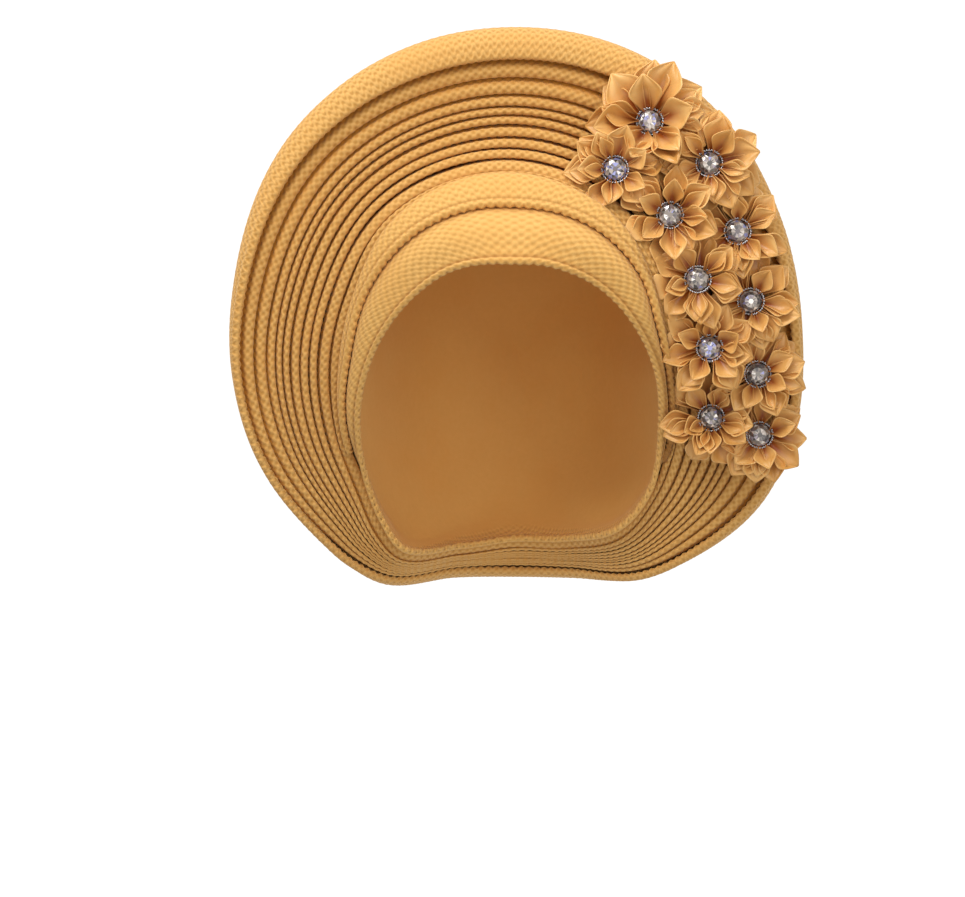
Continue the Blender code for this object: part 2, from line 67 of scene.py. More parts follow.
# A row holds the angle of its section in degrees and, for each named point, its radius as a share of
# FAN_RADIUS and its depth as a share of HEAD_DEPTH. The row of ribs sags by hollow, and the innermost rib is
# tenth wide, both as shares of the row's width.
SECTION_COLUMNS = ("angle", "edge_r", "edge_y", "fold_r", "fold_y", "side_r", "side_y", "inner_r",
                   "inner_y", "rim_r", "rim_y", "out_r", "out_y", "hollow", "tenth")
SECTIONS = np.array([
    (-166, .755, .480, .726, .602, .641, .755, .783, .551, .827, .735, .843, .857, .00, .08),
    (-152, .821, .163, .810, .316, .745, .531, .859, .276, .928, .439, .942, .561, .00, .08),
    (-145, .776, .092, .766, .235, .731, .439, .821, .173, .935, .306, .949, .429, .01, .08),
    (-138, .724, .010, .717, .133, .703, .337, .768, .092, .929, .184, .943, .306, .02, .07),
    (-120, .592, -.286, .632, -.184, .608, .143, .685, -.082, .925, -.061, .955, .041, .08, .10),
    (-100, .464, -.510, .537, -.388, .534, .061, .620, -.245, .904, -.224, .941, -.133, .11, .15),
    (-80, .363, -.673, .487, -.510, .531, .020, .571, -.367, .877, -.337, .930, -.245, .14, .13),
    (-50, .265, -.827, .428, -.673, .586, .000, .546, -.510, .872, -.429, .959, -.337, .16, .10),
    (-20, .203, -.908, .383, -.755, .607, .000, .512, -.582, .856, -.500, .969, -.398, .17, .06),
    (0, .190, -.918, .366, -.765, .614, .000, .499, -.592, .855, -.510, .968, -.408, .17, .05),
    (20, .200, -.908, .371, -.765, .607, .000, .488, -.622, .855, -.510, .968, -.408, .17, .05),
    (45, .233, -.867, .393, -.745, .586, .000, .484, -.643, .851, -.490, .952, -.388, .17, .05),
    (70, .299, -.786, .420, -.694, .538, .000, .481, -.622, .863, -.429, .927, -.327, .15, .05),
    (90, .377, -.694, .443, -.622, .510, .020, .499, -.551, .886, -.367, .931, -.265, .13, .05),
    (110, .487, -.500, .517, -.429, .514, .082, .563, -.388, .932, -.235, .974, -.133, .11, .05),
    (125, .577, -.255, .606, -.194, .574, .184, .649, -.173, .954, -.071, .997, .041, .07, .05),
    (140, .701, -.031, .697, .092, .669, .327, .730, .031, .934, .122, .967, .235, .02, .06),
    (153, .752, .143, .738, .265, .690, .469, .783, .224, .906, .327, .921, .459, .00, .07),
    (166, .728, .449, .704, .561, .614, .724, .759, .520, .827, .653, .841, .786, .00, .08),
    (180, .710, .582, .679, .684, .579, .816, .738, .645, .800, .816, .817, .939, .00, .08),
])


def column(name, angles):
    """Smooth closed curve through one column: a cubic between rows, with its slope at a row that of the
    parabola through the row and its two neighbours."""
    rows = np.radians(SECTIONS[:, 0])
    values = SECTIONS[:, SECTION_COLUMNS.index(name)]
    places = np.concatenate([rows - 2 * np.pi, rows, rows + 2 * np.pi])
    heights = np.tile(values, 3)
    steps = np.diff(places)
    slopes = np.diff(heights) / steps
    at_rows = (slopes[:-1] * steps[1:] + slopes[1:] * steps[:-1]) / (steps[:-1] + steps[1:])
    at_rows = np.concatenate([slopes[:1], at_rows, slopes[-1:]])
    cell = np.searchsorted(places, angles, side="right") - 1
    step = steps[cell]
    part = (angles - places[cell]) / step
    start = heights[cell] * (1 + 2 * part) * (1 - part) ** 2 + step * at_rows[cell] * part * (1 - part) ** 2
    end = heights[cell + 1] * part ** 2 * (3 - 2 * part) + step * at_rows[cell + 1] * part ** 2 * (part - 1)
    return start + end


def section_point(name, angles):
    """Radius and depth in metres of one named point of the sections."""
    return np.stack([column(name + "_r", angles) * FAN_RADIUS, column(name + "_y", angles) * HEAD_DEPTH], -1)


def length(vectors):
    """Length of each vector, kept as a last axis of one."""
    return np.linalg.norm(vectors, axis=-1, keepdims=True)


def forward(direction):
    """Unit vector square to a direction in a section, towards the front and outwards."""
    turned = np.stack([direction[..., 1], -direction[..., 0]], axis=-1)
    return turned / np.maximum(length(turned), 1e-12)


def normals(line):
    """Unit vectors square to each line, towards the front and outwards."""
    return forward(np.gradient(line, axis=1))


def catmull_rom(line, samples):
    """Catmull-Rom curve from the second to the last but one point of each line (station, point, 2).

    Between points b and c, with a before and d after them, it is half of
    2b + (c - a) t + (2a - 5b + 4c - d) t^2 + (3b - a - 3c + d) t^3.
    """
    cell = np.minimum(np.floor(samples).astype(int), line.shape[1] - 4)
    part = (samples - cell)[None, :, None]
    a, b, c, d = (line[:, cell + k] for k in range(4))
    return 0.5 * (2 * b + (c - a) * part + (2 * a - 5 * b + 4 * c - d) * part ** 2
                  + (3 * b - a - 3 * c + d) * part ** 3)


def curve_through(points, samples):
    """Open Catmull-Rom curve through all points, with both ends carried on in a straight line."""
    before = 2 * points[:, :1] - points[:, 1:2]
    after = 2 * points[:, -1:] - points[:, -2:-1]
    return catmull_rom(np.concatenate([before, points, after], axis=1), samples)


def walk(profile, places):
    """Points along each profile at given distances from its start: a straight reading between samples."""
    steps = length(np.diff(profile, axis=1))[..., 0]
    gone = np.concatenate([np.zeros((len(profile), 1)), np.cumsum(steps, axis=1)], axis=1)
    read = [[np.interp(at, way, line[:, k]) for k in (0, 1)] for at, way, line in zip(places, gone, profile)]
    return np.moveaxis(np.array(read), 1, 2)


def in_space(angles, profile):
    """Sections to space: x = r sin(angle), y = depth, z = r cos(angle) - CROWN_RADIUS."""
    radius, turn = profile[..., 0], angles[:, None]
    return np.stack([radius * np.sin(turn), profile[..., 1], radius * np.cos(turn) - CROWN_RADIUS], axis=-1)


def even_stations(line, first, last):
    """Angles that cut a line round the fan into half cells of the weave, all of the same length."""
    fine = np.linspace(first, last, 3600)
    points = in_space(fine, line(fine)[:, None])[:, 0]
    gone = np.concatenate([[0.0], np.cumsum(length(np.diff(points, axis=0))[:, 0])])
    cells = 2 * int(round(gone[-1] / WEAVE / 2))
    whole_turn = last - first > 2 * np.pi - 1e-6
    return np.interp(np.linspace(0, gone[-1], 2 * cells + 1)[:-1 if whole_turn else None], gone, fine)


def grid(rows, columns):
    """Row and column of each cell of a grid, as two flat arrays."""
    i, j = np.meshgrid(np.arange(rows), np.arange(columns), indexing="ij")
    return i.ravel(), j.ravel()


def carried_round(radii, heights, sides):
    """A profile of radius and height carried round a vertical axis: its points and four-cornered faces."""
    turns = 2 * np.pi * np.arange(sides) / sides
    points = np.stack([np.outer(np.sin(turns), radii), np.outer(np.cos(turns), radii),
                       np.tile(heights, (sides, 1))], axis=-1)
    count = len(radii)
    i, j = grid(sides, count - 1)
    i_next = (i + 1) % sides
    faces = np.stack([i * count + j, i * count + j + 1, i_next * count + j + 1, i_next * count + j], -1)
    return points.reshape(-1, 3), faces


def end_strip(count):
    """Four-cornered faces that close the end of a flat loop of count points, from one rim to the other."""
    near = np.arange(count // 2 - 1)
    far = count - 1 - near
    return np.stack([near, near + 1, far - 1, far], -1)


def placed(name, data):
    """An object for a mesh, a lamp or a camera, at the origin of the scene."""
    thing = bpy.data.objects.new(name, data)
    bpy.context.scene.collection.objects.link(thing)
    return thing


def make_piece(name, points, faces, weave, painted_light, finish, plain=None):
    """A mesh from points and four-cornered faces, turned outwards by the sign of its volume.

    weave is the map of each face's corners. The next argument is painted shade: for each point, how far its colour
    goes to the darker colour of deep folds and shaded places.
    """
    a, b, c, d = (points[faces[:, k]] - points.mean(axis=0) for k in range(4))
    volume = np.einsum("ij,ij->", a, np.cross(b, c)) + np.einsum("ij,ij->", a, np.cross(c, d))
    if volume < 0:
        faces, weave = faces[:, ::-1], weave[:, ::-1]
    mesh = bpy.data.meshes.new(name)
    mesh.from_pydata(points.tolist(), [], faces.tolist())
    mesh.uv_layers.new(name="weave").data.foreach_set("uv", weave.astype(np.float32).ravel())
    for kind, values in (("painted_light", painted_light), ("plain", plain)):
        if values is not None:
            layer = mesh.attributes.new(kind, "FLOAT", "POINT")
            layer.data.foreach_set("value", values.astype(np.float32).ravel())
    merged = bmesh.new()
    merged.from_mesh(mesh)
    bmesh.ops.remove_doubles(merged, verts=merged.verts, dist=2e-6)
    merged.to_mesh(mesh)
    merged.free()
    mesh.polygons.foreach_set("use_smooth", np.ones(len(mesh.polygons), bool))
    mesh.materials.append(finish)
    mesh.update()
    return placed(name, mesh)


def sew(name, angles, loops, painted_light, finish, whole_turn=True, plain=0.0):
    """A loop of points (station, point, radius and depth) carried round the fan's axis.

    The map "weave" counts cells: u is half the station's number, v the way along the loop over WEAVE.
    Where plain is 1 the cloth shows its smooth lining side.
    """
    rows, count = loops.shape[:2]
    points = in_space(angles, loops).reshape(-1, 3)
    i, j = grid(rows if whole_turn else rows - 1, count)
    i_next, j_next = (i + 1) % rows, (j + 1) % count
    faces = np.stack([i * count + j, i_next * count + j, i_next * count + j_next, i * count + j_next], -1)
    steps = length(np.roll(loops, -1, axis=1) - loops)[..., 0]
    gone = np.concatenate([np.zeros((rows, 1)), np.cumsum(steps, axis=1)], axis=1) / WEAVE
    u = np.stack([i, i + 1, i + 1, i], -1) / 2
    v = np.stack([gone[i, j], gone[i_next, j], gone[i_next, j + 1], gone[i, j + 1]], -1)
    weave = np.stack([u, v], axis=-1)
    if not whole_turn:
        strip = end_strip(count)
        near = strip[:, 0]
        flat = np.stack([near / 2, near / 2 + .5, near / 2 + .5, near / 2], -1)
        for row in (0, rows - 1):
            end = row * count + strip
            faces = np.concatenate([faces, end if row == 0 else end[:, ::-1]])
            weave = np.concatenate([weave, np.stack([flat, np.zeros_like(flat)], axis=-1)])
    painted_light = np.broadcast_to(painted_light, loops.shape[:2])
    plain = np.broadcast_to(plain, loops.shape[:2])
    return make_piece(name, points, faces, weave, painted_light, finish, plain)


def ramp(values, start, way):
    """0 up to start, then a straight line up to 1 at start + way, and 1 beyond."""
    return np.clip((values - start) / way, 0, 1)


def rolled(middle, places, roll):
    """A cloth wall with a rolled edge: outer points and then inner points, each half a wall off the middle.

    Half the wall is that of a cord of radius roll near the start, and CLOTH/2 beyond twice the roll.
    """
    near = np.clip(1 - places / roll, 0, 1)
    cord = roll * np.sqrt(np.clip(1 - near ** 2, 0, 1))
    fade = ramp(places, roll, roll)
    fade = fade * fade * (3 - 2 * fade)
    half = (cord * (1 - fade) + CLOTH / 2 * fade)[..., None]
    side = normals(middle)
    return middle + side * half, middle - side * half


def toothed(points, across, strength):
    """An edge gets the weave's teeth: it moves along across by strength times cos(pi u), u counting cells."""
    tooth = np.cos(np.pi * np.arange(len(points)) / 2)[:, None, None]
    return points + across * (tooth * strength[..., None])


def knotted(points, relief=1.0):
    """The weave's lozenges stand out by cos(pi u) cos(pi v), where u and v count cells."""
    steps = length(np.diff(points, axis=1))[..., 0]
    v = np.concatenate([np.zeros((len(points), 1)), np.cumsum(steps, axis=1)], axis=1) / WEAVE
    knot = np.cos(np.pi * np.arange(len(points)) / 2)[:, None] * np.cos(np.pi * v)
    return points + normals(points) * (knot * relief * WEAVE_RELIEF)[..., None]


def new_finish(name):
    """A material: itself, its nodes, the call that links two sockets, and its shader."""
    made = bpy.data.materials.new(name)
    made.use_nodes = True
    tree = made.node_tree
    return made, tree.nodes, tree.links.new, tree.nodes["Principled BSDF"]


def preset(node, values):
    """Fixed values for inputs of a node, by name."""
    for name, value in values.items():
        node.inputs[name].default_value = value


def noise(nodes, link, scale, detail=2.0):
    """Noise over the piece's own coordinates, as a number from 0 to 1."""
    where = nodes.new("ShaderNodeTexCoord")
    cloud = nodes.new("ShaderNodeTexNoise")
    preset(cloud, {"Scale": scale, "Detail": detail})
    link(where.outputs["Object"], cloud.inputs["Vector"])
    return cloud.outputs["Fac"]


def uneven_gloss(nodes, link, shader, source, smooth, rough):
    """Roughness that follows a number from 0 to 1, from smooth to rough."""
    spread = nodes.new("ShaderNodeMapRange")
    link(source, spread.inputs["Value"])
    preset(spread, {"To Min": smooth, "To Max": rough})
    link(spread.outputs["Result"], shader.inputs["Roughness"])


def attribute(nodes, name):
    """The value of one of the mesh's own attributes."""
    node = nodes.new("ShaderNodeAttribute")
    node.attribute_name = name
    return node.outputs["Fac"]


def raise_surface(nodes, link, shader, height, strength, distance):
    """Bump from a height."""
    relief = nodes.new("ShaderNodeBump")
    preset(relief, {"Strength": strength, "Distance": distance})
    link(height, relief.inputs["Height"])
    link(relief.outputs["Normal"], shader.inputs["Normal"])


def ribbed_cloth(name, thread, pit, fold):
    """Cloth woven in small lozenges, whose height is cos(pi u) cos(pi v) of the map "weave".

    thread and pit are the colours of the raised thread and of the pits between it; fold is the colour of
    painted shade, laid into deep folds by the mesh's painted-light attribute.
    Fine threads run aslant over it, slubs and worn spots break it up, and the lining side is plain.
    """
    made, nodes, link, shader = new_finish(name)
    preset(shader, {"Sheen Weight": .25, "Sheen Roughness": .45, "Sheen Tint": (1.0, .82, .55, 1),
                    "Specular IOR Level": .28})

    def step(operation, first, second=None):
        """One Math node; a number or a socket for each input."""
        node = nodes.new("ShaderNodeMath")
        node.operation = operation
        for socket, value in zip(node.inputs, (first, second)):
            if isinstance(value, bpy.types.NodeSocket):
                link(value, socket)
            elif value is not None:
                socket.default_value = value
        return node.outputs[0]

    def blend(share, low, high):
        """One Mix node for colours."""
        node = nodes.new("ShaderNodeMix")
        node.data_type = "RGBA"
        for socket, value in zip((node.inputs[0], node.inputs[6], node.inputs[7]), (share, low, high)):
            if isinstance(value, bpy.types.NodeSocket):
                link(value, socket)
            else:
                socket.default_value = value
        return node.outputs[2]

    def spread(source, low, high):
        """Map Range from low..high to 0..1, smooth."""
        node = nodes.new("ShaderNodeMapRange")
        node.interpolation_type = "SMOOTHSTEP"
        link(source, node.inputs["Value"])
        preset(node, {"From Min": low, "From Max": high})
        return node.outputs["Result"]

    place = nodes.new("ShaderNodeUVMap")
    place.uv_map = "weave"
    split = nodes.new("ShaderNodeSeparateXYZ")
    link(place.outputs["UV"], split.inputs[0])
    waves = [step("COSINE", step("MULTIPLY", split.outputs[k], np.pi)) for k in (0, 1)]
    woven = step("SUBTRACT", 1.0, attribute(nodes, "plain"))
    lozenge = step("MULTIPLY", step("MULTIPLY", *waves), woven)
    threads = step("COSINE", step("MULTIPLY", step("ADD", split.outputs[0], split.outputs[1]), 6 * np.pi))
    threads = step("MULTIPLY", threads, woven)
    worn = noise(nodes, link, 38.0, 4.0)
    slub = noise(nodes, link, 420.0)
    colour = blend(spread(lozenge, -1.0, .45), (*pit, 1), (*thread, 1))
    colour = blend(step("MULTIPLY", slub, .30), colour, (*pit, 1))
    warm = tuple(c * f for c, f in zip(thread, (.90, .80, .66)))
    colour = blend(step("MULTIPLY", spread(worn, .40, .66), .35), colour, (*warm, 1))
    # Painted shade: the colour goes to the fold colour where the mesh's painted-light attribute asks for it.
    colour = blend(attribute(nodes, "painted_light"), colour, (*fold, 1))
    link(colour, shader.inputs["Base Color"])
    uneven_gloss(nodes, link, shader, slub, .68, .90)
    height = step("ADD", lozenge, step("MULTIPLY", threads, .16))
    height = step("ADD", height, step("MULTIPLY", slub, .35))
    raise_surface(nodes, link, shader, height, .62, .00042)
    return made


# Two copies of one cloth, lit and shaded: the pleats and the outer wrap take the copy with darker pits, painted
# shade for the hollow of the pleated fan, and the cap and the band take the lighter one. In both the fold colour is
# painted shade.
gold_cloth_shaded_copy = ribbed_cloth("gold ribbed cloth", (.80, .45, .135), (.56, .27, .058), (.50, .190, .020))
gold_cloth_lit_copy = ribbed_cloth("gold ribbed cloth band", (.82, .465, .135), (.64, .325, .078), (.30, .100, .010))


def cap_outside(angles, samples):
    """Outer face of the cap: a curve through hem, band fold, side, back and pole."""
    side = section_point("side", angles)
    bend_radius, bend_depth = CAP_BEND
    back = np.stack([bend_radius * side[:, 0], side[:, 1] + bend_depth * (HEAD_DEPTH - side[:, 1])], axis=-1)
    pole = np.tile([0.0, HEAD_DEPTH + CLOTH], (len(angles), 1))
    points = np.stack([section_point("edge", angles), section_point("fold", angles), side, back, pole], axis=1)
    return curve_through(points, samples)


def shell_places(profile, near, far_count):
    """Distances to walk: the near ones as given, and then even shares of the way to the end."""
    whole = length(np.diff(profile, axis=1)).sum(axis=1)
    rest = near[-1] + (whole - near[-1]) * np.linspace(0, 1, far_count + 1)[1:]
    return np.concatenate([np.tile(near, (len(profile), 1)), rest], axis=1)


def shell_loop(outer, inner):
    """Closes a shell's two faces into one loop, with both poles on the axis."""
    outer[:, -1, 0] = 0.0
    inner[:, -1, 0] = 0.0
    outer[:, -1, 1] = outer[:, -1, 1].mean()
    inner[:, -1, 1] = inner[:, -1, 1].mean()
    return np.concatenate([outer, inner[:, ::-1]], axis=1)


# The mesh is finest at the hem, where the teeth are. The weave fades to plain lining inside and at the back,
# from a place on the way from the hem and over a length.
cap_angles = even_stations(lambda turn: section_point("edge", turn), -np.pi, np.pi)
cap_face = cap_outside(cap_angles, np.linspace(0, 4, 161))
cap_middle = cap_face - normals(cap_face) * CLOTH / 2
cap_near = np.array([0, .15, .45, .9, 1.5, 2.1, 2.7, 3.4, 4.2, 5.1, 6.2, 7.4, 8.6, 9.8, 11, 12.4, 14, 16, 18, 21,
                     24, 28]) / 1000
cap_places = shell_places(cap_middle, cap_near, 14)
cap_outer, cap_inner = rolled(walk(cap_middle, cap_places), cap_places, HEM_ROLL)
cap_loop = shell_loop(cap_outer, cap_inner)
cap_way = np.concatenate([cap_places, cap_places[:, ::-1]], axis=1)
cap_loop = toothed(cap_loop, normals(cap_loop), HEM_TOOTH * np.clip(1 - cap_way / (2.2 * HEM_ROLL), 0, 1))
cap_plain = np.concatenate([ramp(cap_places, *CAP_LINING_OUTSIDE), ramp(cap_places[:, ::-1], *CAP_LINING_INSIDE)],
                           axis=1)
cap_loop = knotted(cap_loop, 1 - cap_plain)
cap_loop[:, [cap_places.shape[1] - 1, cap_places.shape[1]], 0] = 0.0
# Painted shade: a dark line in the crease just above the hem's roll, on both faces of the cloth.
cap_hem_shade = np.exp(-((cap_way - 2.15 * HEM_ROLL) / HEM_SHADE_WIDTH) ** 2) * .75
cap = sew("head_cap", cap_angles, cap_loop, cap_hem_shade, gold_cloth_lit_copy, True, cap_plain)
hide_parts("cap")
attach(cap, "root")

# The upper band is a folded strip of the same cloth, laid over the cap above the forehead. Its lower
# edge is a soft roll and its upper edge runs in under the innermost pleat. It ends behind the ears.
BAND_START = np.radians(-127.0)
BAND_END = np.radians(132.0)
BAND_ROLL = 0.0019
BAND_TOOTH = 0.00040
BAND_TUCK_SHARE = .36
BAND_BULGE_SHARE = .16
BAND_PULL_SHARES = (.33, .45)
# Length over which painted shade darkens the band towards its upper edge, under the innermost pleat:
BAND_SHADE_UNDER_PLEAT = 0.006
PLEAT_SHARES = np.array([.137, .135, .100, .077, .085, .112, .105, .105, .144])


def pleat_lines(angles):
    """Inner fold of each pleat and the rim's fold: a straight row from inner to rim, sunk by a parabola."""
    inner, rim = section_point("inner", angles), section_point("rim", angles)
    width = length(rim - inner)
    across = (rim - inner) / width
    shares = np.concatenate([[0.0], np.cumsum(PLEAT_SHARES[::-1])])
    shares = shares / shares[-1]
    hollow = column("hollow", angles)[:, None] * width
    lines = inner[:, None] + across[:, None] * (shares[None, :, None] * width[:, None])
    lines -= forward(across)[:, None] * (4 * shares * (1 - shares))[None, :, None] * hollow[:, None]
    first = inner - (lines[:, 1] - lines[:, 0]) / length(lines[:, 1] - lines[:, 0]) * (
        column("tenth", angles)[:, None] * width)
    return np.concatenate([first[:, None], lines], axis=1)


def rib_depth(angles):
    """Depth of one rib: the mean width of a pleat."""
    lines = pleat_lines(angles)
    return length(lines[:, -1] - lines[:, 1]) / len(PLEAT_SHARES)


def bezier(p0, p1, p2, p3, places):
    """Cubic Bezier curve for each station, read at places from 0 to 1."""
    s = places[None, :, None]
    p0, p1, p2, p3 = (p[:, None, :] for p in (p0, p1, p2, p3))
    return (1 - s) ** 3 * p0 + 3 * s * (1 - s) ** 2 * p1 + 3 * s ** 2 * (1 - s) * p2 + s ** 3 * p3


def band_inside(angles):
    """Inner face of the band: a Bezier from just over the cap's fold line to just under the first pleat."""
    whole = cap_outside(angles, np.array([.9, 1.0, 1.1]))
    low = whole[:, 1] + forward(whole[:, 2] - whole[:, 0]) * CLEARANCE
    lines = pleat_lines(angles)
    across = (lines[:, 1] - lines[:, 0]) / length(lines[:, 1] - lines[:, 0])
    front = forward(across)
    high = lines[:, 0] - across * (CLOTH + CLEARANCE) - front * BAND_TUCK_SHARE * rib_depth(angles)
    bulge = BAND_BULGE_SHARE * length(high - low)
    low_pull, high_pull = BAND_PULL_SHARES
    return bezier(low, low + (high - low) * low_pull + forward(high - low) * bulge,
                  high + front * high_pull * length(high - low), high, np.linspace(0, 1, 81))


band_angles = even_stations(lambda turn: section_point("fold", turn), BAND_START, BAND_END)
band_face = band_inside(band_angles)
band_middle = band_face + normals(band_face) * CLOTH / 2
band_whole = length(np.diff(band_middle, axis=1)).sum(axis=1)
band_near = np.array([0, .1, .4, .9, 1.5, 2.1, 2.8, 3.5, 4.3, 5.0]) / 1000
band_places = band_near[-1] + (band_whole - band_near[-1]) * np.linspace(0, 1, 17)[1:]
band_places = np.concatenate([np.tile(band_near, (len(band_face), 1)), band_places], axis=1)
band_outer, band_inner = rolled(walk(band_middle, band_places), band_places, BAND_ROLL)
band_loop = np.concatenate([band_outer, band_inner[:, ::-1]], axis=1)
band_way = np.concatenate([band_places, band_places[:, ::-1]], axis=1)
band_loop = toothed(band_loop, normals(band_loop), BAND_TOOTH * np.clip(1 - band_way / (1.8 * BAND_ROLL), 0, 1))
band_loop = knotted(band_loop)
# Painted shade: a dark line in the crease just above the lower roll, and a darkening towards the upper edge, where
# the band runs in under the innermost pleat.
band_shade = np.exp(-((band_way - 2.3 * BAND_ROLL) / .0006) ** 2) * .45
band_shade += ramp(band_way - band_whole, -BAND_SHADE_UNDER_PLEAT, BAND_SHADE_UNDER_PLEAT)
band = sew("upper_band_cloth", band_angles, band_loop, np.clip(band_shade, 0, 1), gold_cloth_lit_copy, False)
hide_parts("upper_band")
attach(band, "root")

# Ten pleats of the same cloth are folded over soft cord and stacked outwards from the band, each with
# its toothed fold lying over the next one in. They are sewn down at the nape.
PLEAT_TOOTH = 0.00036
RIB_OUTLINE = ((0, -.30), (.01, -.16), (.10, -.03), (.26, .07), (.45, .08), (.62, 0), (.76, -.19), (.86, -.46))
RIB_BACK = (.34, -.56)
RIB_WAVE = 0.00016
TAIL_REACH_SHARE = .24
TAIL_THICKNESS_SHARE = .30
RIM_PITCH_SHARE = .40
REACH_RAMP = .09
REACH_LEAD = .85
REACH_GAP = 0.0009
pleat_count = len(PLEAT_SHARES) + 1


def rib_loop(angles, number):
    """Closed outline of one rib: a rounded front, a tail under the next rib out and a flat back.

    In the section each point is a share of the pitch along the row and a share of the rib's depth in front
    of it, and a closed Catmull-Rom curve joins them, read at every half. Low waves round the ring keep the
    folds from being all alike. At the band's two ends the innermost rib reaches in to the cap, by a smooth
    step of REACH_RAMP radians that starts a little before the band's end.
    """
    lines = pleat_lines(angles)
    start, end = lines[:, number], lines[:, number + 1]
    after = lines[:, min(number + 2, lines.shape[1] - 1)]
    if number == 0:
        cap_line = cap_outside(angles, np.linspace(0, 2, 81))
        gap = length(cap_line - start[:, None])[..., 0]
        nearest = cap_line[np.arange(len(angles)), gap.argmin(axis=1)]
        past_band = np.maximum(BAND_START - angles, angles - BAND_END) / REACH_RAMP + REACH_LEAD
        past_band = np.clip(past_band, 0, 1)
        past_band = past_band ** 2 * (3 - 2 * past_band)
        left = np.clip(1 - REACH_GAP / gap.min(axis=1), 0, 1)
        start = start + (nearest - start) * (past_band * left)[:, None]
    pitch = length(end - start)
    next_pitch = length(after - end) if number + 2 < lines.shape[1] else RIM_PITCH_SHARE * pitch
    across = (end - start) / pitch
    front = forward(across)
    depth = rib_depth(angles)
    back_place, back_height = RIB_BACK
    under = back_height * depth - CLEARANCE
    tail = pitch + TAIL_REACH_SHARE * next_pitch
    outline = [(place * pitch, height * depth) for place, height in RIB_OUTLINE]
    outline += [(tail, under), (tail, under - TAIL_THICKNESS_SHARE * depth)]
    outline.append((back_place * pitch, back_height * depth))
    points = np.stack([start + across * along + front * ahead for along, ahead in outline], axis=1)
    wave = np.sin(5 * angles + 1.7 * number) + .7 * np.sin(11 * angles + 2.9 * number)
    points = points + (front * (RIB_WAVE * wave)[:, None])[:, None]
    samples = np.arange(0, len(outline), .5)
    loop = catmull_rom(np.concatenate([points[:, -1:], points, points[:, :2]], axis=1), samples)
    return loop, samples, across


for number in range(pleat_count):
    rib_angles = even_stations(lambda turn: pleat_lines(turn)[:, number], -np.pi, np.pi)
    loop, samples, across = rib_loop(rib_angles, number)
    near_fold = np.exp(-(np.minimum(samples, len(samples) / 2 - samples) / 1.1) ** 2)
    loop = toothed(loop, across[:, None], np.tile(PLEAT_TOOTH * near_fold, (len(loop), 1)))
    loop = knotted(loop)
    # Painted shade: the colour darkens from the rib's crest to its tail, which lies under the next rib out,
    # stays darkest over the back, and deepens a little just inside its fold.
    painted_light = ramp(samples, 4.2, 2.6) ** 1.5 + .45 * np.exp(-(samples / .7) ** 2)
    painted_light = np.clip(painted_light + ramp(samples, 9.6, 1.0), 0, 1)
    rib = sew(f"pleat_fold_{pleat_count - number}", rib_angles, loop, painted_light, gold_cloth_shaded_copy)
    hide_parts(f"pleat_{pleat_count - number}")
    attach(rib, "root")

# The outer wrap is one wide piece of cloth. Its folded edge makes the rim, it rolls over to the outline
# and goes back over the cap, and soft gathers draw it together behind the head.
BACK_ROOM = 0.008
RIM_ROLL = 0.0021
GATHER_DEPTH = 0.0016
GATHER_START = 0.030
WRAP_LINING_OUTSIDE = (-0.045, 0.025)
WRAP_LINING_INSIDE = (0.006, 0.004)
RIM_LIFT_SHARE = .10
ROLL_PULL_SHARES = (.20, .40, .50)
BACK_PULL_SHARE = .34
BACK_FULLNESS_SHARE = .52


def wrap_outside(angles):
    """Outer face of the wrap: a Bezier roll from the rim's fold to the outline, and one to the pole."""
    inner, rim, out = (section_point(name, angles) for name in ("inner", "rim", "out"))
    front = forward(rim - inner)
    across = (rim - inner) / length(rim - inner)
    width = length(out - rim)
    start = rim + front * RIM_LIFT_SHARE * rib_depth(angles)
    outwards, forwards, at_outline = ROLL_PULL_SHARES
    roll = bezier(start, rim + width * (outwards * across + forwards * front), out + at_outline * width * front,
                  out, np.linspace(0, 1, 41))
    pole = np.tile([0.0, HEAD_DEPTH + CLOTH + BACK_ROOM], (len(angles), 1))
    span = length(pole - out)
    full = np.stack([BACK_FULLNESS_SHARE * out[:, 0], pole[:, 1]], axis=-1)
    back = bezier(out, out - front * BACK_PULL_SHARE * span, full, pole, np.linspace(0, 1, 121))
    return np.concatenate([roll, back[:, 1:]], axis=1)


wrap_angles = even_stations(lambda turn: section_point("out", turn), -np.pi, np.pi)
wrap_face = wrap_outside(wrap_angles)
wrap_middle = wrap_face - normals(wrap_face) * CLOTH / 2
wrap_near = np.array([0, .15, .5, 1.0, 1.7, 2.5, 3.4, 4.4, 5.6, 7, 8.5, 10, 12, 14, 16, 18.5, 21, 24, 27, 31]) / 1000
wrap_places = shell_places(wrap_middle, wrap_near, 26)
wrap_outer, wrap_inner = rolled(walk(wrap_middle, wrap_places), wrap_places, RIM_ROLL)
wrap_whole = wrap_places[:, -1:]
